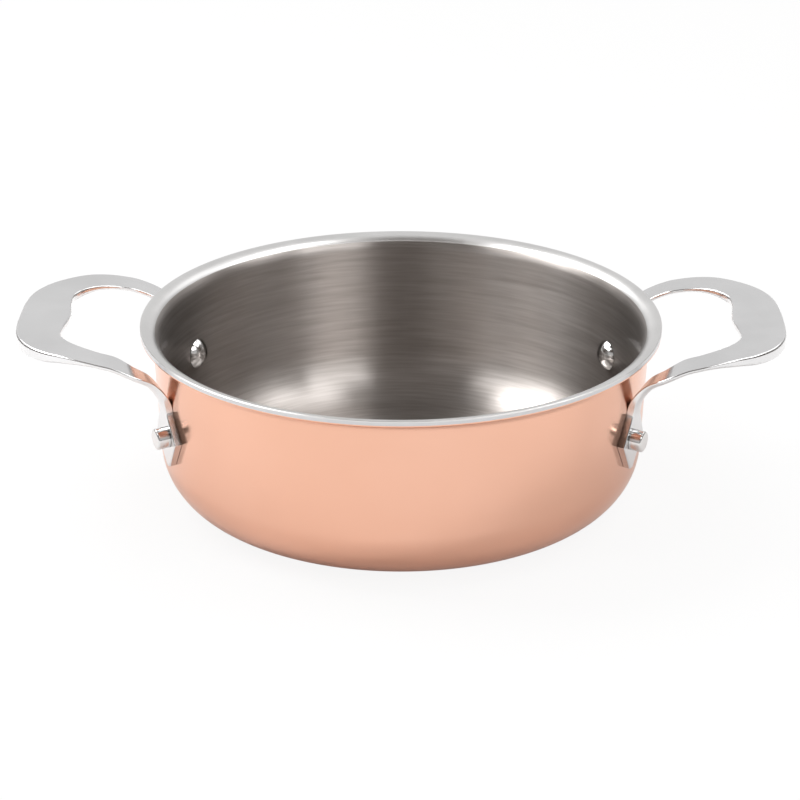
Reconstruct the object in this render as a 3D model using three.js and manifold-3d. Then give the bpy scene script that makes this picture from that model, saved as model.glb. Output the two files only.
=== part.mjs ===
import * as THREE from "three";
import { mergeVertices } from "three/addons/utils/BufferGeometryUtils.js";
import Module from "manifold-3d";

// A shallow copper pan with two cast loop handles. Millimetres, +Z up, the base on Z = 0, handles along X.
const radians = THREE.MathUtils.degToRad;
const lerp = THREE.MathUtils.lerp;
const smoothstep = THREE.MathUtils.smoothstep;
const quarter_turn = Math.PI / 2;

// Pan body: one bonded sheet, turned up from a flat base and out into a pouring lip
const base_flat_radius = 61.5;
const corner_radius = 19.7;
const wall_lean = radians(2.6);
const rim_height = 61.5;
const flare_radius = 5.1;
const flare_angle = radians(80);
const copper_thickness = 0.5;
const core_thickness = 1.0;
const liner_thickness = 0.5;

// Rivets: a dome inside the pan, a round stud outside the handle pad
const rivet_height = 34;
const rivet_angle = radians(26);
const shank_radius = 2.4;
const dome_radius = 5.2;
const dome_height = 2.8;
const stud_radius = 3.5;
const stud_height = 3.2;
const stud_round = 0.7;

// Handle plan: reach is measured out from the wall at the rivets, spans from the handle's middle plane,
// and the legs stand a little wider than the rivets
const grip_inner = 36.9;
const grip_width = 17.2;
const grip_rise = 1.0;
const grip_swell = 2.5;
const swell_half_span = 19.6;
const leg_reach = 18.6;
const leg_offset = 0.9;
const leg_width = 7.6;
const leg_fall = 2.9;
const leg_droop = 1.6;
const finger_squareness = 3.4;
const outer_squareness = 3.0;
const corner_lead = radians(14);
const slimming_starts = radians(22);
const slimming_ends = radians(77);

// Handle bend, from the leg down to the waist: the outer edge swings wider than the finger side
const bend_turn = radians(66);
const bend_height = 16.5;
const finger_bend = 15;
const outer_bend = 19.5;
const finger_spread = 3.5;
const outer_spread = 1.6;

// Handle pads, about each rivet: lozenges below a narrow waist, both leaning to the handle's middle plane
const waist_half_width = 2.9;
const waist_height = 8;
const waist_lean = 2;
const pad_half_width = 7.3;
const pad_drop = 0.8;
const pad_lean = 0.8;
const pad_tip = 10.9;
const pad_tip_half_width = 1.2;
const pad_sharpness = 8;

// Handle section: thick and round at the grip, thin-edged with a full belly on the legs, flat at the pads
const grip_thickness = 5.2;
const grip_outer_side = 4.9;
const grip_finger_side = 2.6;
const grip_outer_round = 2.2;
const grip_finger_round = 1.1;
const leg_thickness = 2.8;
const leg_edge = 1.3;
const leg_round = 0.5;
const pad_thickness = 3.4;

// Fits: the pads are drawn a little into the wall, then cut back to the seat clearance
const hole_clearance = 0.15;
const seat_clearance = 0.1;
const bedding_depth = 0.6;

// Facets
const body_facets = 56;
const rivet_facets = 16;
const corner_steps = 5;
const flare_steps = 3;
const dome_steps = 3;
const round_steps = 2;
const plan_stations = 7;
const bend_stations = 3;
const loft_steps = 3;
const belly_points = 1;

const body_thickness = copper_thickness + core_thickness + liner_thickness;
const wall_start_height = corner_radius * (1 - Math.sin(wall_lean));
const wall_start_radius = base_flat_radius + corner_radius * Math.cos(wall_lean);
const flare_centre_height = rim_height - (flare_radius + body_thickness) * Math.sin(flare_angle);
const flare_start_height = flare_centre_height + flare_radius * Math.sin(wall_lean);
const flare_centre_radius = wall_radius(flare_start_height) + flare_radius * Math.cos(wall_lean);
const leg_half_span = wall_radius(rivet_height) * Math.sin(rivet_angle) + leg_offset;

const wasm = await Module();
wasm.setup();

// Radius of the copper outside where the wall is straight
function wall_radius(height) {
  return wall_start_radius + (height - wall_start_height) * Math.tan(wall_lean);
}

// Half section of the sheet at a depth below the copper outside, from the axis out to the edge of the lip
function sheet_profile(depth) {
  const points = [new THREE.Vector2(0, depth)];
  for (let i = 0; i <= corner_steps; i++) {
    const turn = (i / corner_steps) * (quarter_turn - wall_lean);
    const radius = corner_radius - depth;
    points.push(new THREE.Vector2(
      base_flat_radius + radius * Math.sin(turn),
      corner_radius - radius * Math.cos(turn),
    ));
  }
  for (let i = 0; i <= flare_steps; i++) {
    const turn = lerp(wall_lean, flare_angle, i / flare_steps);
    const radius = flare_radius + depth;
    points.push(new THREE.Vector2(
      flare_centre_radius - radius * Math.cos(turn),
      flare_centre_height + radius * Math.sin(turn),
    ));
  }
  return points;
}

function to_solid(geometry) {
  const bare = geometry.clone();
  bare.deleteAttribute("normal");
  bare.deleteAttribute("uv");
  const merged = mergeVertices(bare, 1e-4);
  return new wasm.Manifold(new wasm.Mesh({
    numProp: 3,
    vertProperties: new Float32Array(merged.attributes.position.array),
    triVerts: new Uint32Array(merged.index.array),
  }));
}

// A solid whose faces all look outwards, whichever way its outline was drawn
function facing_out(geometry) {
  const solid = to_solid(geometry);
  if (solid.volume() > 0) {
    return solid;
  }
  const index = geometry.index.array;
  for (let i = 0; i < index.length; i += 3) {
    [index[i], index[i + 1]] = [index[i + 1], index[i]];
  }
  return to_solid(geometry);
}

function to_geometry(solid) {
  const mesh = solid.getMesh();
  const geometry = new THREE.BufferGeometry();
  geometry.setAttribute("position", new THREE.BufferAttribute(new Float32Array(mesh.vertProperties), 3));
  geometry.setIndex(new THREE.BufferAttribute(new Uint32Array(mesh.triVerts), 1));
  geometry.computeVertexNormals();
  return geometry;
}

// A solid turned about +Z
function turned(points, facets) {
  const geometry = new THREE.LatheGeometry(points, facets);
  geometry.rotateX(quarter_turn);
  return facing_out(geometry);
}

// One layer of the bonded sheet between two depths
function ply(outer_depth, inner_depth) {
  return turned([...sheet_profile(outer_depth), ...sheet_profile(inner_depth).reverse()], body_facets);
}

// The space that the body takes up against a handle
function body_envelope() {
  const outside = sheet_profile(-seat_clearance);
  const top = outside[outside.length - 1].y;
  return turned([...outside, new THREE.Vector2(0, top)], body_facets);
}

// A rivet's own axes: out through the wall, up the wall, and along it away from the handle's middle plane
function rivet_frame(side) {
  const angle = side * rivet_angle;
  const radial = new THREE.Vector3(Math.cos(angle), Math.sin(angle), 0);
  const rise = new THREE.Vector3(0, 0, 1);
  const lean_out = Math.sin(wall_lean);
  const lean_up = Math.cos(wall_lean);
  return {
    origin: radial.clone().multiplyScalar(wall_radius(rivet_height)).addScaledVector(rise, rivet_height),
    out: radial.clone().multiplyScalar(lean_up).addScaledVector(rise, -lean_out),
    up: radial.clone().multiplyScalar(lean_out).addScaledVector(rise, lean_up),
    along: new THREE.Vector3(-Math.sin(angle), Math.cos(angle), 0).multiplyScalar(side),
  };
}

// Places a shape turned about +Z so that +Z runs out along the rivet
function along_rivet(side) {
  const frame = rivet_frame(side);
  const across = new THREE.Vector3().crossVectors(frame.up, frame.out);
  return new THREE.Matrix4().makeBasis(across, frame.up, frame.out).setPosition(frame.origin);
}

function rivet_hole(side) {
  const radius = shank_radius + hole_clearance;
  const length = 2 * (body_thickness + pad_thickness);
  const hole = new THREE.CylinderGeometry(radius, radius, length, rivet_facets);
  hole.rotateX(quarter_turn);
  hole.applyMatrix4(along_rivet(side));
  return to_solid(hole);
}

// The dome stands off the liner just enough for its flat back to clear the curve and its facets
function rivet(side) {
  const inner_radius = wall_radius(rivet_height) - body_thickness;
  const facet_lift = inner_radius * (1 - Math.cos(Math.PI / body_facets));
  const dome_lift = dome_radius ** 2 / (2 * inner_radius) + facet_lift;
  const dome_base = -(body_thickness + dome_lift + seat_clearance);
  const dome_sphere = (dome_radius ** 2 + dome_height ** 2) / (2 * dome_height);
  const dome_sweep = Math.asin(dome_radius / dome_sphere);
  const stud_base = pad_thickness + seat_clearance;
  const stud_end = stud_base + stud_height;
  const points = [];
  for (let i = 0; i <= dome_steps; i++) {
    const turn = (dome_sweep * i) / dome_steps;
    points.push(new THREE.Vector2(
      dome_sphere * Math.sin(turn),
      dome_base - dome_height + dome_sphere * (1 - Math.cos(turn)),
    ));
  }
  points.push(
    new THREE.Vector2(shank_radius, dome_base),
    new THREE.Vector2(shank_radius, stud_base),
    new THREE.Vector2(stud_radius, stud_base),
  );
  for (let i = 0; i <= round_steps; i++) {
    const turn = (i / round_steps) * quarter_turn;
    points.push(new THREE.Vector2(
      stud_radius - stud_round * (1 - Math.cos(turn)),
      stud_end - stud_round * (1 - Math.sin(turn)),
    ));
  }
  points.push(new THREE.Vector2(0, stud_end));
  const geometry = to_geometry(turned(points, rivet_facets));
  return geometry.applyMatrix4(along_rivet(side));
}

// Quarter of a squared-off oval: squarest where the turn starts, round where it ends
function squared_oval(depth, half_span, squareness, turn) {
  const power = 2 / lerp(squareness, 2, turn / quarter_turn);
  return { depth: depth * Math.cos(turn) ** power, across: half_span * Math.sin(turn) ** power };
}

// One place along the loop: its finger-side edge and outer edge, and how far its section is grip or pad
function station(inner, outer, grip_share, pad_share) {
  return { inner, outer, shares: new THREE.Vector3(grip_share, pad_share, 0) };
}

// Half of the loop seen from above, from the middle of the grip to where the leg starts to bend
function plan_half(frame) {
  const leg_inner = leg_half_span - leg_width / 2;
  const leg_outer = leg_half_span + leg_width / 2;
  const opening_depth = grip_inner + grip_swell - leg_reach;
  const loop_depth = grip_inner + grip_width - leg_reach;
  const place = (reach, across) => {
    const run = Math.max(0, (grip_inner - reach) / (grip_inner - leg_reach));
    const height = rim_height + grip_rise - leg_fall * run ** leg_droop;
    return new THREE.Vector3(frame.origin.x + reach, across, height);
  };
  const stations = [];
  for (let i = 0; i <= plan_stations; i++) {
    const turn = (i / plan_stations) * quarter_turn;
    const lead = corner_lead * Math.sin(2 * turn);
    const finger = squared_oval(opening_depth, leg_inner, finger_squareness, turn);
    const outside = squared_oval(loop_depth, leg_outer, outer_squareness, turn + lead);
    const swell = grip_swell * Math.max(0, 1 - (finger.across / swell_half_span) ** 2) ** 2;
    stations.push(station(
      place(leg_reach + finger.depth - swell, finger.across),
      place(leg_reach + outside.depth, outside.across),
      1 - smoothstep(turn, slimming_starts, slimming_ends), 0,
    ));
  }
  return stations;
}

// A place on the wall by a rivet: along the wall, up it and out from it
function on_wall(frame, offset, height, lift) {
  return frame.origin.clone()
    .addScaledVector(frame.along, offset)
    .addScaledVector(frame.up, height)
    .addScaledVector(frame.out, lift);
}

// A place along the loop that lies against the wall
function seated(frame, lean, half_width, height) {
  return station(
    on_wall(frame, -lean - half_width, height, -bedding_depth),
    on_wall(frame, -lean + half_width, height, -bedding_depth),
    0, 1,
  );
}

// The rest of that half: the bend and the narrow waist, where the top face turns to the wall
function wall_half(frame) {
  const stations = [];
  for (let i = bend_stations; i > 0; i--) {
    const turn = (i / bend_stations) * bend_turn;
    const swing = 1 - Math.cos(turn);
    const height = waist_height + bend_height * Math.sin(turn);
    const inner_offset = -waist_lean - waist_half_width - finger_spread * swing;
    const outer_offset = -waist_lean + waist_half_width - outer_spread * swing;
    stations.push(station(
      on_wall(frame, inner_offset, height, finger_bend * swing),
      on_wall(frame, outer_offset, height, outer_bend * swing),
      0, Math.cos(turn) ** pad_sharpness,
    ));
  }
  stations.push(seated(frame, waist_lean, waist_half_width, waist_height));
  return stations;
}

// The straight-sided lozenge below the waist: its two side corners, then its tip
function pad_half(frame) {
  return [
    seated(frame, pad_lean, pad_half_width, -pad_drop),
    seated(frame, pad_lean, pad_tip_half_width, -pad_tip),
  ];
}

// The same point on the other half of the handle
function across_handle(point) {
  return new THREE.Vector3(point.x, -point.y, point.z);
}

function mirrored(place) {
  return { inner: across_handle(place.inner), outer: across_handle(place.outer), shares: place.shares };
}

// Outline of the section: across from the finger-side edge, and down from the top face
function section(width, shares) {
  const grip = THREE.MathUtils.clamp(shares.x, 0, 1);
  const pad = THREE.MathUtils.clamp(shares.y, 0, 1);
  const blend = (on_leg, on_grip) => lerp(lerp(on_leg, on_grip, grip), pad_thickness + bedding_depth, pad);
  const belly = blend(leg_thickness, grip_thickness);
  const outer_side = blend(leg_edge, grip_outer_side);
  const finger_side = blend(leg_edge, grip_finger_side);
  const outer_round = lerp(leg_round, grip_outer_round, grip);
  const finger_round = lerp(leg_round, grip_finger_round, grip);
  const outline = [];
  const corner = (across, down, round, from) => {
    for (let i = 0; i <= round_steps; i++) {
      const turn = from + (i / round_steps) * quarter_turn;
      outline.push([across + round * Math.cos(turn), down + round * Math.sin(turn)]);
    }
  };
  corner(width - outer_round, outer_round, outer_round, -quarter_turn);
  corner(width - outer_round, outer_side - outer_round, outer_round, 0);
  for (let i = belly_points; i > 0; i--) {
    const share = i / (belly_points + 1);
    const bulge = 1 - (2 * share - 1) ** 2;
    const chord = lerp(finger_side, outer_side, share);
    outline.push([share * width, chord + (belly - (finger_side + outer_side) / 2) * bulge]);
  }
  corner(finger_round, finger_side - finger_round, finger_round, quarter_turn);
  corner(finger_round, finger_round, finger_round, 2 * quarter_turn);
  return outline;
}

// One ring of the loop: the section between its two edges, under its top face
function ring(inner, outer, top, shares) {
  const across = outer.clone().sub(inner);
  const width = across.length();
  across.normalize();
  return section(width, shares).map(
    ([along, down]) => inner.clone().addScaledVector(across, along).addScaledVector(top, -down),
  );
}

// The loop as a band drawn between its two edges: smooth from waist to waist, straight down each pad
function loop_band() {
  const frame = rivet_frame(1);
  const pad = pad_half(frame);
  const half = [...plan_half(frame), ...wall_half(frame), pad[0]];
  const whole = [...half.slice(1).reverse().map(mirrored), ...half];
  const inner_edge = new THREE.CatmullRomCurve3(whole.map((place) => place.inner));
  const outer_edge = new THREE.CatmullRomCurve3(whole.map((place) => place.outer));
  const shares = new THREE.CatmullRomCurve3(whole.map((place) => place.shares));
  const middle = (t) => inner_edge.getPoint(t).add(outer_edge.getPoint(t)).multiplyScalar(0.5);
  const spans = (whole.length - 1) * loft_steps;
  const nudge = 1 / (4 * spans);
  const rings = [];
  for (let i = loft_steps; i <= spans - loft_steps; i++) {
    const t = i / spans;
    const inner = inner_edge.getPoint(t);
    const outer = outer_edge.getPoint(t);
    const onward = middle(t + nudge).sub(middle(t - nudge));
    const top = outer.clone().sub(inner).cross(onward).normalize();
    rings.push(ring(inner, outer, top, shares.getPoint(t)));
  }
  const to_wall = frame.out.clone().negate();
  const pad_rings = pad.map((place) => ring(place.inner, place.outer, to_wall, place.shares));
  const far_rings = pad_rings.map((points) => points.map(across_handle)).reverse();
  return skinned([...far_rings, ...rings, ...pad_rings]);
}

// Closes rings of points into one solid
function skinned(rings) {
  const size = rings[0].length;
  const index = [];
  for (let ring = 0; ring < rings.length - 1; ring++) {
    for (let i = 0; i < size; i++) {
      const a = ring * size + i;
      const b = ring * size + ((i + 1) % size);
      index.push(a, b, a + size, b, b + size, a + size);
    }
  }
  const last = (rings.length - 1) * size;
  for (let i = 1; i < size - 1; i++) {
    index.push(0, i + 1, i, last, last + i, last + i + 1);
  }
  const geometry = new THREE.BufferGeometry().setFromPoints(rings.flat());
  geometry.setIndex(index);
  return facing_out(geometry);
}

function handle() {
  const solid = loop_band()
    .subtract(body_envelope())
    .subtract(rivet_hole(1))
    .subtract(rivet_hole(-1));
  return to_geometry(solid);
}

// Cuts the four rivet holes through one layer of the body
function pierced(layer) {
  const half_turn = new THREE.Matrix4().makeRotationZ(2 * quarter_turn);
  let solid = layer;
  for (const side of [1, -1]) {
    const hole = rivet_hole(side);
    solid = solid.subtract(hole).subtract(hole.transform(half_turn.elements));
  }
  return to_geometry(solid);
}

function metal(color, roughness) {
  return new THREE.MeshStandardMaterial({ color, roughness, metalness: 1 });
}

function part(name, geometry, material) {
  const mesh = new THREE.Mesh(geometry, material);
  mesh.name = name;
  return mesh;
}

const copper = metal(0xe0a184, 0.18);
const aluminium = metal(0xb9bcc0, 0.45);
const brushed_steel = metal(0x9c948e, 0.35);
const polished_steel = metal(0xc9cacb, 0.15);

const pan = new THREE.Group();
const core_depth = copper_thickness;
const liner_depth = copper_thickness + core_thickness;
pan.add(part("copper_shell", pierced(ply(0, core_depth)), copper));
pan.add(part("aluminium_core", pierced(ply(core_depth, liner_depth)), aluminium));
pan.add(part("steel_liner", pierced(ply(liner_depth, body_thickness)), brushed_steel));

const handle_geometry = handle();
for (const [side_name, turn] of [["right", 0], ["left", 2 * quarter_turn]]) {
  const set = new THREE.Group();
  set.rotation.z = turn;
  set.add(part(`${side_name}_handle`, handle_geometry, polished_steel));
  for (const side of [-1, 1]) {
    const is_front = (side < 0) === (turn === 0);
    const name = `${side_name}_${is_front ? "front" : "rear"}_rivet`;
    set.add(part(name, rivet(side), polished_steel));
  }
  pan.add(set);
}

export default pan;
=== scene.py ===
import math

import bmesh
import bpy
from mathutils import Matrix, Vector


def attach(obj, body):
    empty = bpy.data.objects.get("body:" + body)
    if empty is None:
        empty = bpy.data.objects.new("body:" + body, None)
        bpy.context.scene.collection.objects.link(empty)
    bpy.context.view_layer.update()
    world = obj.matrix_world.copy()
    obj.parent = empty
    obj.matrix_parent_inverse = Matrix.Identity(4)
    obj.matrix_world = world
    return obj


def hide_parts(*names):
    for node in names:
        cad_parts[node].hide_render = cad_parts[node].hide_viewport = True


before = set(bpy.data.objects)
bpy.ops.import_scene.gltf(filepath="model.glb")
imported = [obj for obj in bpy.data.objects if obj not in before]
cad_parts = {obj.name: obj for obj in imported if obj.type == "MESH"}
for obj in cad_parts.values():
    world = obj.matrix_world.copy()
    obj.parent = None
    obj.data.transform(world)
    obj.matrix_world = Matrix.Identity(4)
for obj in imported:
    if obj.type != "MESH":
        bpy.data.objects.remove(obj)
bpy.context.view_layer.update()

MM = 0.001
QUARTER = math.pi / 2
TINY = 1e-9

# Pan body, in millimetres: one bonded sheet, turned up from a flat base and out into a pouring lip
BASE_FLAT_RADIUS = 61.5
BASE_RING_SHARES = (0.1, 0.35, 0.7)
CORNER_RADIUS = 19.7
WALL_LEAN = math.radians(2.6)
RIM_HEIGHT = 61.5
FLARE_RADIUS = 3.85
LIP_FLAT = 0.28
COPPER_DEPTH = 0.5
LINER_DEPTH = 1.5
SHEET_DEPTH = 2.0
COPPER_BEVEL = 0.12
LINER_BEVEL = 0.15
LIP_POLISH_STARTS = math.radians(38)

# Rivets
RIVET_HEIGHT = 34
RIVET_ANGLE = math.radians(26)
SHANK_RADIUS = 2.4
DOME_RADIUS = 5.2
DOME_HEIGHT = 2.8
STUD_RADIUS = 3.5
STUD_HEIGHT = 4.2
STUD_ROUND = 0.7

# Loop handles
GRIP_INNER = 36.9
GRIP_WIDTH = 17.2
GRIP_RISE = 0.98
GRIP_SWELL = 2.5
SWELL_HALF_SPAN = 19.6
LEG_REACH = 18.6
LEG_OFFSET = 0.3
LEG_WIDTH = 10.4
LEG_FALL = 2.9
LEG_DROOP = 1.6
FINGER_SQUARENESS = 3.4
OUTER_SQUARENESS = 3.0
CORNER_LEAD = math.radians(14)
SLIMMING_STARTS = math.radians(22)
SLIMMING_ENDS = math.radians(77)
BEND_TURN = math.radians(66)
BEND_HEIGHT = 16.5
FINGER_BEND = 15
OUTER_BEND = 19.5
FINGER_SPREAD = 5
OUTER_SPREAD = 1.6
WAIST_HALF_WIDTH = 3.4
WAIST_HEIGHT = 8
WAIST_LEAN = 2.5
PAD_HALF_WIDTH = 8.1
PAD_DROP = 0.8
PAD_LEAN = 1.6
PAD_TIP = 10.9
PAD_TIP_HALF_WIDTH = 1.2
PAD_SHARPNESS = 8
GRIP_THICKNESS = 5.2
GRIP_OUTER_SIDE = 4.0
GRIP_FINGER_SIDE = 2.6
GRIP_OUTER_ROUND = 0.9
GRIP_FINGER_ROUND = 1.1
LEG_THICKNESS = 2.6
LEG_EDGE = 1.0
LEG_ROUND = 0.4
PAD_THICKNESS = 2.4
BEDDING_DEPTH = 0.6
SEAT_CLEARANCE = 0.1

# Fineness of the meshes
PAN_SEGMENTS = 288
RIVET_SEGMENTS = 48
SMOOTH_BELOW = math.radians(38)

# Metals: a darker and a lighter tone of each, and its least and greatest roughness
COPPER_TONES = (0.8, 0.455, 0.326), (0.835, 0.49, 0.363)
# The liner's tones are darker and warmer than the lip's same steel: painted shade for the inside of the
# pan.
LINER_TONES_WITH_PAINTED_SHADE = (0.44, 0.407, 0.385), (0.55, 0.517, 0.495)
LIP_TONES = (0.7, 0.695, 0.69), (0.77, 0.765, 0.76)
HANDLE_TONES = (0.74, 0.74, 0.745), (0.82, 0.82, 0.825)
RIVET_TONES = (0.72, 0.715, 0.71), (0.8, 0.795, 0.79)
CORE_TONES = (0.62, 0.625, 0.635), (0.7, 0.705, 0.715)
COPPER_ROUGHNESS = 0.17, 0.23
LINER_ROUGHNESS = 0.29, 0.34
LIP_ROUGHNESS = 0.28, 0.36
HANDLE_ROUGHNESS = 0.14, 0.21
RIVET_ROUGHNESS = 0.12, 0.2
CORE_ROUGHNESS = 0.36, 0.46
NOISE_LOW = 0.3
NOISE_HIGH = 0.7
LINE_DEPTH = 0.0002
GRAIN_DEPTH = 0.0001

# Stage, in metres
FLOOR_HALF_WIDTH = 4.0
FLOOR_TONE = (0.9, 0.9, 0.9)
FLOOR_WHITE_TO_CAMERA = 0.9
FLOOR_WHITE_IN_METAL = 0.12
WHITE = (1, 1, 1)
ROOM_COLOUR = (0.045, 0.027, 0.016)
BACKDROP_LEVEL = 0.75
BACKDROP_SIDE_SHARE = 0.3
FILL_LEVEL = 0.5
FILL_SIDE_SHARE = 0.3
FILL_CENTRE_SHARE = 0.42
LAMP_DISTANCE = 1.3
# Name, azimuth and elevation in degrees, width and height in metres, power in watts
LAMPS = (
    ("left_back", -138, 38, 0.6, 0.45, 1.5),
    ("left_key", -108, 50, 0.55, 0.65, 8.4),
    ("left_side", -75, 48, 0.9, 0.45, 3.9),
    ("top_box", 0, 60, 1.2, 0.3, 0.7),
    ("right_box", 40, 45, 0.65, 0.45, 3.0),
    ("side_box", 97, 58, 0.6, 0.8, 4.4),
    ("right_back", 135, 38, 0.6, 0.45, 0.9),
)
CAMERA_AIM = Vector((-0.0003, 0, 0.0316))
CAMERA_AZIMUTH = 0.7
CAMERA_ELEVATION = 23.1
CAMERA_DISTANCE = 0.9
CAMERA_LENS = 119.5
CAMERA_SENSOR = 36


def lerp(a, b, share):
    return a + (b - a) * share


def smoothstep(x, low, high):
    share = min(max((x - low) / (high - low), 0), 1)
    return share * share * (3 - 2 * share)


# Meshes
def new_piece(name, points, faces):
    """A mesh object from points in millimetres, sharp only at edges that turn by SMOOTH_BELOW or more."""
    mesh = bpy.data.meshes.new(name)
    mesh.from_pydata([tuple(c * MM for c in p) for p in points], [], faces)
    shape = bmesh.new()
    shape.from_mesh(mesh)
    bmesh.ops.recalc_face_normals(shape, faces=shape.faces)
    for face in shape.faces:
        face.smooth = True
    for edge in shape.edges:
        if len(edge.link_faces) == 2:
            edge.smooth = edge.calc_face_angle(0) < SMOOTH_BELOW
    shape.to_mesh(mesh)
    shape.free()
    piece = bpy.data.objects.new(name, mesh)
    bpy.context.scene.collection.objects.link(piece)
    level = piece.modifiers.new("flat_faces_look_flat", "WEIGHTED_NORMAL")
    level.keep_sharp = True
    return piece


def turned(profile, segments):
    """Points and faces of an outline of (radius, height) turned about Z; its ends lie on the axis."""
    points = [(0, 0, profile[0][1])]
    rings = profile[1:-1]
    for radius, height in rings:
        for i in range(segments):
            angle = 2 * math.pi * i / segments
            points.append((radius * math.cos(angle), radius * math.sin(angle), height))
    points.append((0, 0, profile[-1][1]))
    last = len(points) - 1
    faces = []
    for i in range(segments):
        j = (i + 1) % segments
        faces.append((0, 1 + j, 1 + i))
        for ring in range(len(rings) - 1):
            a = 1 + ring * segments
            faces.append((a + i, a + j, a + segments + j, a + segments + i))
        a = 1 + (len(rings) - 1) * segments
        faces.append((a + i, a + j, last))
    return points, faces


# Pan body. A depth is measured from the copper outside into the sheet.
WALL_START_HEIGHT = CORNER_RADIUS * (1 - math.sin(WALL_LEAN))
WALL_START_RADIUS = BASE_FLAT_RADIUS + CORNER_RADIUS * math.cos(WALL_LEAN)


def wall_radius(height):
    return WALL_START_RADIUS + (height - WALL_START_HEIGHT) * math.tan(WALL_LEAN)


FLARE_CENTRE_HEIGHT = RIM_HEIGHT - FLARE_RADIUS - SHEET_DEPTH
FLARE_START_HEIGHT = FLARE_CENTRE_HEIGHT + FLARE_RADIUS * math.sin(WALL_LEAN)
FLARE_CENTRE_RADIUS = wall_radius(FLARE_START_HEIGHT) + FLARE_RADIUS * math.cos(WALL_LEAN)


def flare_point(depth, turn):
    radius = FLARE_RADIUS + depth
    return FLARE_CENTRE_RADIUS - radius * math.cos(turn), FLARE_CENTRE_HEIGHT + radius * math.sin(turn)


def lip_edge(depth, inset=0.0):
    return FLARE_CENTRE_RADIUS + LIP_FLAT - inset, FLARE_CENTRE_HEIGHT + FLARE_RADIUS + depth


def sheet_profile(depth, edge_inset):
    """Half section of the sheet at a depth, from the axis to the lip's edge."""
    corner_steps, wall_steps, flare_steps = 28, 6, 24
    points = [(0, depth)]
    points += [(BASE_FLAT_RADIUS * share, depth) for share in BASE_RING_SHARES]
    radius = CORNER_RADIUS - depth
    for i in range(corner_steps + 1):
        turn = (i / corner_steps) * (QUARTER - WALL_LEAN)
        points.append((BASE_FLAT_RADIUS + radius * math.sin(turn), CORNER_RADIUS - radius * math.cos(turn)))
    foot = points[-1]
    top = flare_point(depth, WALL_LEAN)
    for i in range(1, wall_steps):
        share = i / wall_steps
        points.append((lerp(foot[0], top[0], share), lerp(foot[1], top[1], share)))
    for i in range(flare_steps + 1):
        points.append(flare_point(depth, lerp(WALL_LEAN, QUARTER, i / flare_steps)))
    points.append(lip_edge(depth, edge_inset))
    return points


def ply(name, outer_depth, inner_depth, outer_bevel=0.0, inner_bevel=0.0):
    """One layer of the sheet between two depths, with the corners of its cut edge bevelled."""
    outside = sheet_profile(outer_depth, outer_bevel)
    if outer_bevel:
        outside.append(lip_edge(outer_depth + outer_bevel))
    inside = sheet_profile(inner_depth, inner_bevel)
    if inner_bevel:
        inside.append(lip_edge(inner_depth - inner_bevel))
    return new_piece(name, *turned(outside + inside[::-1], PAN_SEGMENTS))


# Rivets
def rivet_frame(side):
    """Where a right-hand rivet crosses the wall's outside, with directions out, up and along the wall."""
    angle = side * RIVET_ANGLE
    radial = Vector((math.cos(angle), math.sin(angle), 0))
    rise = Vector((0, 0, 1))
    return {
        "origin": radial * wall_radius(RIVET_HEIGHT) + rise * RIVET_HEIGHT,
        "out": radial * math.cos(WALL_LEAN) - rise * math.sin(WALL_LEAN),
        "up": radial * math.sin(WALL_LEAN) + rise * math.cos(WALL_LEAN),
        "along": Vector((-math.sin(angle), math.cos(angle), 0)) * side,
    }


def rivet_profile():
    """Half section from the top of the dome inside the pan to the end of the stud outside."""
    inner_radius = wall_radius(RIVET_HEIGHT) - SHEET_DEPTH
    dome_base = -(SHEET_DEPTH + DOME_RADIUS ** 2 / (2 * inner_radius) + SEAT_CLEARANCE)
    sphere = (DOME_RADIUS ** 2 + DOME_HEIGHT ** 2) / (2 * DOME_HEIGHT)
    sweep = math.asin(DOME_RADIUS / sphere)
    stud_base = PAD_THICKNESS + SEAT_CLEARANCE
    stud_end = stud_base + STUD_HEIGHT
    dome_steps, round_steps = 14, 6
    profile = []
    for i in range(dome_steps + 1):
        angle = sweep * i / dome_steps
        profile.append((sphere * math.sin(angle), dome_base - DOME_HEIGHT + sphere * (1 - math.cos(angle))))
    profile += [(SHANK_RADIUS, dome_base), (SHANK_RADIUS, stud_base), (STUD_RADIUS, stud_base)]
    for i in range(round_steps + 1):
        angle = QUARTER * i / round_steps
        profile.append((
            STUD_RADIUS - STUD_ROUND * (1 - math.cos(angle)),
            stud_end - STUD_ROUND * (1 - math.sin(angle)),
        ))
    profile.append((0, stud_end))
    return profile


def rivet(name, side, turn):
    points, faces = turned(rivet_profile(), RIVET_SEGMENTS)
    place = rivet_frame(side)
    across = place["up"].cross(place["out"])
    basis = Matrix((across, place["up"], place["out"])).transposed()
    spin = Matrix.Rotation(turn, 3, "Z")
    placed = [spin @ (place["origin"] + basis @ Vector(p)) for p in points]
    return new_piece(name, placed, faces)


# Handles. A station is (finger-side edge, outer edge, share of grip, share of pad).
LEG_HALF_SPAN = wall_radius(RIVET_HEIGHT) * math.sin(RIVET_ANGLE) + LEG_OFFSET


def squared_oval(depth, half_span, squareness, turn):
    power = 2 / lerp(squareness, 2, turn / QUARTER)
    return depth * max(math.cos(turn), 0) ** power, half_span * math.sin(turn) ** power


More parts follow.
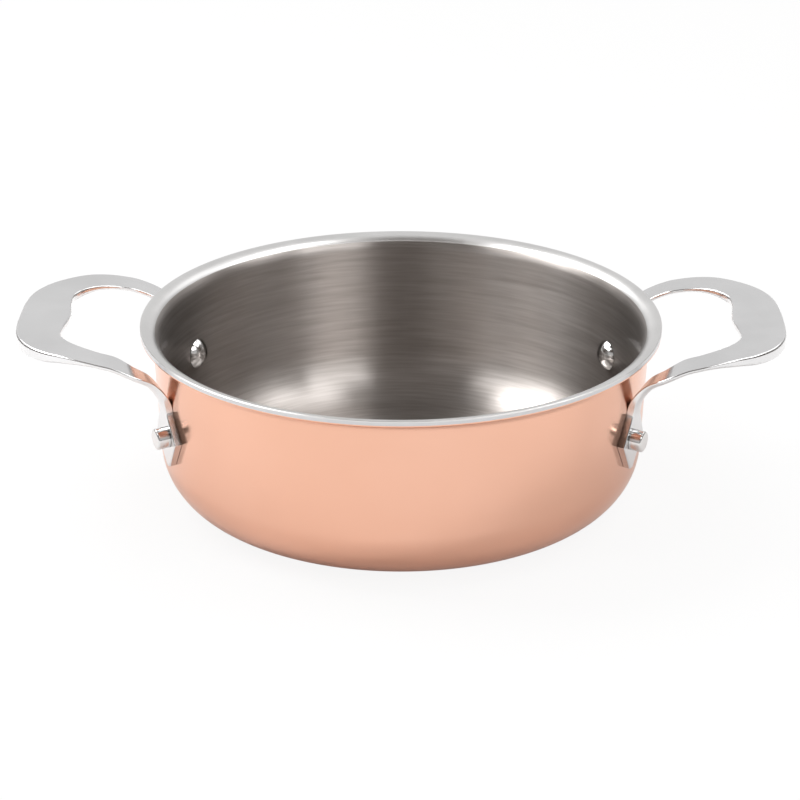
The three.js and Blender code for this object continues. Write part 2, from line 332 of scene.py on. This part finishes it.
def plan_half(place):
    """Stations from the middle of the grip to where the leg starts to bend."""
    leg_inner = LEG_HALF_SPAN - LEG_WIDTH / 2
    leg_outer = LEG_HALF_SPAN + LEG_WIDTH / 2
    finger_depth = GRIP_INNER + GRIP_SWELL - LEG_REACH
    outer_depth = GRIP_INNER + GRIP_WIDTH - LEG_REACH
    steps = 7

    def at(reach, across):
        run = max(0, (GRIP_INNER - reach) / (GRIP_INNER - LEG_REACH))
        height = RIM_HEIGHT + GRIP_RISE - LEG_FALL * run ** LEG_DROOP
        return Vector((place["origin"].x + reach, across, height))

    stations = []
    for i in range(steps + 1):
        turn = QUARTER * i / steps
        lead = CORNER_LEAD * math.sin(2 * turn)
        depth, across = squared_oval(finger_depth, leg_inner, FINGER_SQUARENESS, turn)
        out_depth, out_across = squared_oval(outer_depth, leg_outer, OUTER_SQUARENESS, turn + lead)
        swell = GRIP_SWELL * max(0, 1 - (across / SWELL_HALF_SPAN) ** 2) ** 2
        grip = 1 - smoothstep(turn, SLIMMING_STARTS, SLIMMING_ENDS)
        finger_edge = at(LEG_REACH + depth - swell, across)
        outer_edge = at(LEG_REACH + out_depth, out_across)
        stations.append((finger_edge, outer_edge, grip, 0))
    return stations


def on_wall(place, offset, height, lift):
    return place["origin"] + place["along"] * offset + place["up"] * height + place["out"] * lift


def against_wall(place, lean, half_width, height):
    """A station on the wall, whose top face is turned to it."""
    return (
        on_wall(place, -lean - half_width, height, -BEDDING_DEPTH),
        on_wall(place, -lean + half_width, height, -BEDDING_DEPTH),
        0, 1,
    )


def wall_half(place):
    """Stations of the bend and the narrow waist."""
    bend_steps = 3
    stations = []
    for i in range(bend_steps, 0, -1):
        turn = BEND_TURN * i / bend_steps
        swing = 1 - math.cos(turn)
        height = WAIST_HEIGHT + BEND_HEIGHT * math.sin(turn)
        inner_offset = -WAIST_LEAN - WAIST_HALF_WIDTH - FINGER_SPREAD * swing
        outer_offset = -WAIST_LEAN + WAIST_HALF_WIDTH - OUTER_SPREAD * swing
        stations.append((
            on_wall(place, inner_offset, height, FINGER_BEND * swing),
            on_wall(place, outer_offset, height, OUTER_BEND * swing),
            0, math.cos(turn) ** PAD_SHARPNESS,
        ))
    stations.append(against_wall(place, WAIST_LEAN, WAIST_HALF_WIDTH, WAIST_HEIGHT))
    return stations


def centripetal(points, t):
    """A point on the smooth curve through the points, t from 0 to 1."""
    spans = len(points) - 1
    span = min(int(t * spans), spans - 1)
    weight = t * spans - span
    p1, p2 = points[span], points[span + 1]
    p0 = points[span - 1] if span > 0 else p1 * 2 - p2
    p3 = points[span + 2] if span + 2 <= spans else p2 * 2 - p1
    d0, d1, d2 = (max((b - a).length, TINY) ** 0.5 for a, b in ((p0, p1), (p1, p2), (p2, p3)))
    t1 = ((p1 - p0) / d0 - (p2 - p0) / (d0 + d1) + (p2 - p1) / d1) * d1
    t2 = ((p2 - p1) / d1 - (p3 - p1) / (d1 + d2) + (p3 - p2) / d2) * d1
    w2, w3 = weight * weight, weight ** 3
    start = p1 * (2 * w3 - 3 * w2 + 1) + t1 * (w3 - 2 * w2 + weight)
    return start + p2 * (3 * w2 - 2 * w3) + t2 * (w3 - w2)


def section(width, grip, pad):
    """Outline across from the finger-side edge and down from the top face."""
    def blend(on_leg, on_grip):
        return lerp(lerp(on_leg, on_grip, grip), PAD_THICKNESS + BEDDING_DEPTH, pad)

    belly = blend(LEG_THICKNESS, GRIP_THICKNESS)
    outer_side = blend(LEG_EDGE, GRIP_OUTER_SIDE)
    finger_side = blend(LEG_EDGE, GRIP_FINGER_SIDE)
    outer_round = lerp(LEG_ROUND, GRIP_OUTER_ROUND, grip)
    finger_round = lerp(LEG_ROUND, GRIP_FINGER_ROUND, grip)
    round_steps, belly_points, top_points = 6, 9, 5
    outline = []

    def corner(across, down, radius, start):
        for i in range(round_steps + 1):
            turn = start + QUARTER * i / round_steps
            outline.append((across + radius * math.cos(turn), down + radius * math.sin(turn)))

    corner(width - outer_round, outer_round, outer_round, -QUARTER)
    corner(width - outer_round, outer_side - outer_round, outer_round, 0)
    for i in range(belly_points, 0, -1):
        share = i / (belly_points + 1)
        bulge = 1 - (2 * share - 1) ** 2
        chord = lerp(finger_side, outer_side, share)
        outline.append((share * width, chord + (belly - (finger_side + outer_side) / 2) * bulge))
    corner(finger_round, finger_side - finger_round, finger_round, QUARTER)
    corner(finger_round, finger_round, finger_round, 2 * QUARTER)
    for i in range(1, top_points + 1):
        share = i / (top_points + 1)
        outline.append((lerp(finger_round, width - outer_round, share), 0))
    return outline


def section_ring(inner, outer, top, grip, pad):
    across = outer - inner
    width = across.length
    across.normalize()
    return [inner + across * along - top * down for along, down in section(width, grip, pad)]


def band_rings(stations):
    """Rings of the smooth band through the stations, without its first and last span."""
    inner_edge = [station[0] for station in stations]
    outer_edge = [station[1] for station in stations]
    shares = [Vector((station[2], station[3], 0)) for station in stations]
    steps = 8
    spans = (len(stations) - 1) * steps
    nudge = 0.25 / spans

    def middle(t):
        return (centripetal(inner_edge, t) + centripetal(outer_edge, t)) / 2

    rings = []
    for i in range(steps, spans - steps + 1):
        t = i / spans
        inner, outer = centripetal(inner_edge, t), centripetal(outer_edge, t)
        onward = middle(t + nudge) - middle(t - nudge)
        top = (outer - inner).cross(onward).normalized()
        share = centripetal(shares, t)
        rings.append(section_ring(inner, outer, top, min(max(share.x, 0), 1), min(max(share.y, 0), 1)))
    return rings


def seated(point):
    """A point of a pad, brought out of the wall to rest against it."""
    reach = math.hypot(point.x, point.y)
    seat = wall_radius(point.z) + SEAT_CLEARANCE
    if reach < seat and point.z < FLARE_START_HEIGHT:
        return Vector((point.x * seat / reach, point.y * seat / reach, point.z))
    return point


def loop(name, turn):
    """Smooth from waist to waist, then straight down each lozenge pad to its side corners and its tip."""
    place = rivet_frame(1)
    corners = against_wall(place, PAD_LEAN, PAD_HALF_WIDTH, -PAD_DROP)
    tip = against_wall(place, PAD_LEAN, PAD_TIP_HALF_WIDTH, -PAD_TIP)
    half = plan_half(place) + wall_half(place) + [corners]
    flip = Matrix.Diagonal((1, -1, 1))
    other_half = [(flip @ a, flip @ b, grip, pad) for a, b, grip, pad in half[:0:-1]]
    rings = band_rings(other_half + half)

    waist_ring = rings[-1]
    inward = -place["out"]
    corner_ring, tip_ring = (section_ring(a, b, inward, grip, pad) for a, b, grip, pad in (corners, tip))
    pad_steps = 6
    pad_rings = []
    for upper, lower in ((waist_ring, corner_ring), (corner_ring, tip_ring)):
        for i in range(1, pad_steps + 1):
            pad_rings.append([a.lerp(b, i / pad_steps) for a, b in zip(upper, lower)])
    rings = [[flip @ p for p in points] for points in pad_rings[::-1]] + rings + pad_rings

    spin = Matrix.Rotation(turn, 3, "Z")
    points = [spin @ seated(p) for points in rings for p in points]
    size = len(waist_ring)
    faces = []
    for i in range(len(rings) - 1):
        for j in range(size):
            a, b = i * size + j, i * size + (j + 1) % size
            faces.append((a, b, b + size, a + size))
    last = (len(rings) - 1) * size
    faces.append(tuple(range(size)))
    faces.append(tuple(range(last, last + size)))
    return new_piece(name, points, faces)


# Materials
class Nodes:
    """A node tree, with short calls to add nodes and join them."""

    def __init__(self, tree):
        self.tree = tree

    def node(self, kind, **settings):
        made = self.tree.nodes.new(kind)
        for key, value in settings.items():
            setattr(made, key, value)
        return made

    def join(self, source, target):
        self.tree.links.new(source, target)

    def calculate(self, operation, *values):
        made = self.node("ShaderNodeMath", operation=operation)
        for socket, value in zip(made.inputs, values):
            if isinstance(value, (int, float)):
                socket.default_value = value
            else:
                self.join(value, socket)
        return made.outputs[0]

    def map_range(self, value, start, end, low, high, **settings):
        made = self.node("ShaderNodeMapRange", **settings)
        for key, number in (("From Min", start), ("From Max", end), ("To Min", low), ("To Max", high)):
            made.inputs[key].default_value = number
        self.join(value, made.inputs["Value"])
        return made.outputs["Result"]

    def mix_colours(self, share, first, second):
        made = self.node("ShaderNodeMix", data_type="RGBA")
        made.inputs["A"].default_value = (*first, 1)
        made.inputs["B"].default_value = (*second, 1)
        self.join(share, made.inputs["Factor"])
        return made.outputs["Result"]


class Metal(Nodes):
    """A metal whose colour, roughness and fine relief follow noise."""

    def __init__(self, name):
        self.material = bpy.data.materials.new(name)
        self.material.use_nodes = True
        super().__init__(self.material.node_tree)
        self.surface = self.tree.nodes["Principled BSDF"]
        self.surface.inputs["Metallic"].default_value = 1.0
        self.place = self.node("ShaderNodeTexCoord").outputs["Object"]

    def noise(self, vector, scale=1.0, detail=3.0, roughness=0.55):
        made = self.node("ShaderNodeTexNoise")
        made.inputs["Scale"].default_value = scale
        made.inputs["Detail"].default_value = detail
        made.inputs["Roughness"].default_value = roughness
        self.join(vector, made.inputs["Vector"])
        return made.outputs["Fac"]

    def ring_lines(self, per_metre, length):
        """Coordinates drawn out round the pan's axis, for noise like fine turning or brushing lines."""
        split = self.node("ShaderNodeSeparateXYZ")
        self.join(self.place, split.inputs[0])
        flat = self.node("ShaderNodeCombineXYZ")
        self.join(split.outputs["X"], flat.inputs["X"])
        self.join(split.outputs["Y"], flat.inputs["Y"])
        reach = self.node("ShaderNodeVectorMath", operation="LENGTH")
        self.join(flat.outputs[0], reach.inputs[0])
        heading = self.node("ShaderNodeVectorMath", operation="NORMALIZE")
        self.join(flat.outputs[0], heading.inputs[0])
        turn = self.node("ShaderNodeSeparateXYZ")
        self.join(heading.outputs[0], turn.inputs[0])
        along = self.calculate("ADD", reach.outputs["Value"], split.outputs["Z"])
        lines = self.node("ShaderNodeCombineXYZ")
        self.join(self.calculate("MULTIPLY", along, per_metre), lines.inputs["X"])
        self.join(self.calculate("MULTIPLY", turn.outputs["X"], length), lines.inputs["Y"])
        self.join(self.calculate("MULTIPLY", turn.outputs["Y"], length), lines.inputs["Z"])
        return lines.outputs[0]

    def spread(self, noise, low, high):
        return self.map_range(noise, NOISE_LOW, NOISE_HIGH, low, high)

    def colour(self, noise, tones):
        self.join(self.mix_colours(self.spread(noise, 0, 1), *tones), self.surface.inputs["Base Color"])

    def roughness(self, noise, limits):
        self.join(self.spread(noise, *limits), self.surface.inputs["Roughness"])

    def bump(self, noise, strength, distance):
        made = self.node("ShaderNodeBump")
        made.inputs["Strength"].default_value = strength
        made.inputs["Distance"].default_value = distance
        self.join(noise, made.inputs["Height"])
        self.join(made.outputs["Normal"], self.surface.inputs["Normal"])


def copper_metal():
    metal = Metal("polished_copper")
    lines = metal.noise(metal.ring_lines(per_metre=900, length=1.2), detail=4, roughness=0.65)
    cloud = metal.noise(metal.place, scale=14, detail=4)
    metal.colour(cloud, COPPER_TONES)
    metal.roughness(lines, COPPER_ROUGHNESS)
    metal.bump(lines, strength=0.02, distance=LINE_DEPTH)
    return metal.material


def brushed_metal():
    """Brushed round the pan, so that highlights spread across the brushing. Its tones, darker and warmer
    than the lip's same steel, are painted shade for the inside of the pan.
    """
    metal = Metal("brushed_steel_with_painted_shade")
    fine = metal.noise(metal.ring_lines(per_metre=700, length=3), detail=2, roughness=0.6)
    broad = metal.noise(metal.ring_lines(per_metre=260, length=0.8), detail=3, roughness=0.6)
    # Painted shade: the liner is coloured darker and warmer than the lip's same steel.
    metal.colour(fine, LINER_TONES_WITH_PAINTED_SHADE)
    metal.roughness(broad, LINER_ROUGHNESS)
    metal.bump(fine, strength=0.02, distance=LINE_DEPTH)
    metal.surface.inputs["Anisotropic"].default_value = 1.0
    metal.surface.inputs["Anisotropic Rotation"].default_value = 0.25
    tangent = metal.node("ShaderNodeTangent", direction_type="RADIAL", axis="Z")
    metal.join(tangent.outputs[0], metal.surface.inputs["Tangent"])
    return metal.material


def polished_metal(name, tones, roughness, grain, relief):
    metal = Metal(name)
    cloud = metal.noise(metal.place, scale=45, detail=4)
    metal.colour(cloud, tones)
    metal.roughness(cloud, roughness)
    metal.bump(metal.noise(metal.place, scale=grain), strength=relief, distance=GRAIN_DEPTH)
    return metal.material


copper = copper_metal()
brushed = brushed_metal()
lip_steel = polished_metal("polished_lip", LIP_TONES, LIP_ROUGHNESS, grain=900, relief=0.02)
handle_steel = polished_metal("cast_steel", HANDLE_TONES, HANDLE_ROUGHNESS, grain=700, relief=0.03)
rivet_steel = polished_metal("rivet_steel", RIVET_TONES, RIVET_ROUGHNESS, grain=700, relief=0.02)
cut_aluminium = polished_metal("cut_aluminium", CORE_TONES, CORE_ROUGHNESS, grain=1500, relief=0.1)


# Pieces
def dress(piece, node, slot, *materials):
    for material in materials:
        piece.data.materials.append(material)
    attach(piece, "root")
    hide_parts(node)


dress(ply("copper_skin", 0, COPPER_DEPTH, outer_bevel=COPPER_BEVEL), "copper_shell", "copper", copper)
dress(ply("core_layer", COPPER_DEPTH, LINER_DEPTH), "aluminium_core", "core_aluminium", cut_aluminium)
liner = ply("steel_inside", LINER_DEPTH, SHEET_DEPTH, inner_bevel=LINER_BEVEL)
dress(liner, "steel_liner", "liner_steel", brushed, lip_steel)
lip_height = flare_point(SHEET_DEPTH, LIP_POLISH_STARTS)[1]
for face in liner.data.polygons:
    if face.center.z > lip_height * MM:
        face.material_index = 1

for side_name, turn in (("right", 0.0), ("left", math.pi)):
    dress(loop(side_name + "_loop", turn), side_name + "_handle", "handle_steel", handle_steel)
    for side in (-1, 1):
        end_name = "front" if (side < 0) == (turn == 0) else "rear"
        node = f"{side_name}_{end_name}_rivet"
        dress(rivet(node + "_turned", side, turn), node, "rivet_steel", rivet_steel)


# Stage
def stage_floor():
    """A pale floor that is white to the camera and keeps a soft shadow."""
    half = FLOOR_HALF_WIDTH
    corners = [(-half, -half, 0), (half, -half, 0), (half, half, 0), (-half, half, 0)]
    mesh = bpy.data.meshes.new("floor")
    mesh.from_pydata(corners, [], [(0, 1, 2, 3)])
    floor = bpy.data.objects.new("floor", mesh)
    bpy.context.scene.collection.objects.link(floor)
    material = bpy.data.materials.new("pale_floor")
    material.use_nodes = True
    nodes = Nodes(material.node_tree)
    nodes.tree.nodes.clear()
    paper = nodes.node("ShaderNodeBsdfDiffuse")
    paper.inputs["Color"].default_value = (*FLOOR_TONE, 1)
    white = nodes.node("ShaderNodeEmission")
    path = nodes.node("ShaderNodeLightPath")
    in_metal = nodes.calculate("MULTIPLY", path.outputs["Is Glossy Ray"], FLOOR_WHITE_IN_METAL)
    share = nodes.calculate("MULTIPLY_ADD", path.outputs["Is Camera Ray"], FLOOR_WHITE_TO_CAMERA, in_metal)
    mix = nodes.node("ShaderNodeMixShader")
    for source, target in zip((share, paper.outputs[0], white.outputs[0]), mix.inputs):
        nodes.join(source, target)
    output = nodes.node("ShaderNodeOutputMaterial")
    nodes.join(mix.outputs[0], output.inputs["Surface"])
    mesh.materials.append(material)


def studio_world():
    """White to the camera; to the metal a dim room, pale behind and overhead, with low fill in front."""
    world = bpy.data.worlds.new("studio")
    bpy.context.scene.world = world
    world.use_nodes = True
    nodes = Nodes(world.node_tree)
    split = nodes.node("ShaderNodeSeparateXYZ")
    nodes.join(nodes.node("ShaderNodeTexCoord").outputs["Generated"], split.inputs[0])
    backward, upward = split.outputs["Y"], split.outputs["Z"]
    sideways = nodes.calculate("ABSOLUTE", split.outputs["X"])

    def ramp(value, start, end, low, high):
        """From low to high as a part of the direction goes from start to end."""
        return nodes.map_range(value, start, end, low, high, interpolation_type="SMOOTHSTEP")

    def product(first, *others):
        for other in others:
            first = nodes.calculate("MULTIPLY", first, other)
        return first

    backdrop = product(
        ramp(backward, -0.2, 0.35, 0.0, BACKDROP_LEVEL),
        ramp(sideways, 0.4, 0.8, 1.0, BACKDROP_SIDE_SHARE),
    )
    fill = product(
        ramp(upward, 0.0, 0.1, 0.0, FILL_LEVEL),
        ramp(upward, 0.4, 0.6, 1.0, 0.0),
        ramp(sideways, 0.1, 0.35, FILL_CENTRE_SHARE, 1.0),
        ramp(sideways, 0.7, 0.85, 1.0, FILL_SIDE_SHARE),
        ramp(backward, -0.3, -0.1, 1.0, 0.0),
    )
    to_camera = nodes.node("ShaderNodeLightPath").outputs["Is Camera Ray"]
    share = nodes.calculate("MAXIMUM", nodes.calculate("MAXIMUM", backdrop, fill), to_camera)
    colour = nodes.mix_colours(share, ROOM_COLOUR, WHITE)
    nodes.join(colour, nodes.tree.nodes["Background"].inputs["Color"])


def direction(azimuth, elevation):
    """Unit vector away from the pan, from degrees; azimuth turns from the camera's side towards +X."""
    turn, rise = math.radians(azimuth), math.radians(elevation)
    return Vector((math.sin(turn) * math.cos(rise), -math.cos(turn) * math.cos(rise), math.sin(rise)))


def softbox(name, azimuth, elevation, width, height, power):
    """A rectangular lamp that faces the pan."""
    lamp = bpy.data.lights.new(name, "AREA")
    lamp.shape = "RECTANGLE"
    lamp.size = width
    lamp.size_y = height
    lamp.energy = power
    made = bpy.data.objects.new(name, lamp)
    bpy.context.scene.collection.objects.link(made)
    away = direction(azimuth, elevation)
    made.location = away * LAMP_DISTANCE
    made.rotation_euler = away.to_track_quat("Z", "Y").to_euler()


def photo_camera():
    lens = bpy.data.cameras.new("photo_camera")
    lens.lens = CAMERA_LENS
    lens.sensor_width = CAMERA_SENSOR
    camera = bpy.data.objects.new("photo_camera", lens)
    bpy.context.scene.collection.objects.link(camera)
    away = direction(CAMERA_AZIMUTH, CAMERA_ELEVATION)
    camera.location = CAMERA_AIM + away * CAMERA_DISTANCE
    camera.rotation_euler = away.to_track_quat("Z", "Y").to_euler()
    bpy.context.scene.camera = camera


stage_floor()
studio_world()
for lamp_row in LAMPS:
    softbox(*lamp_row)
photo_camera()
bpy.context.scene.view_settings.view_transform = "Standard"

bpy.context.view_layer.update()
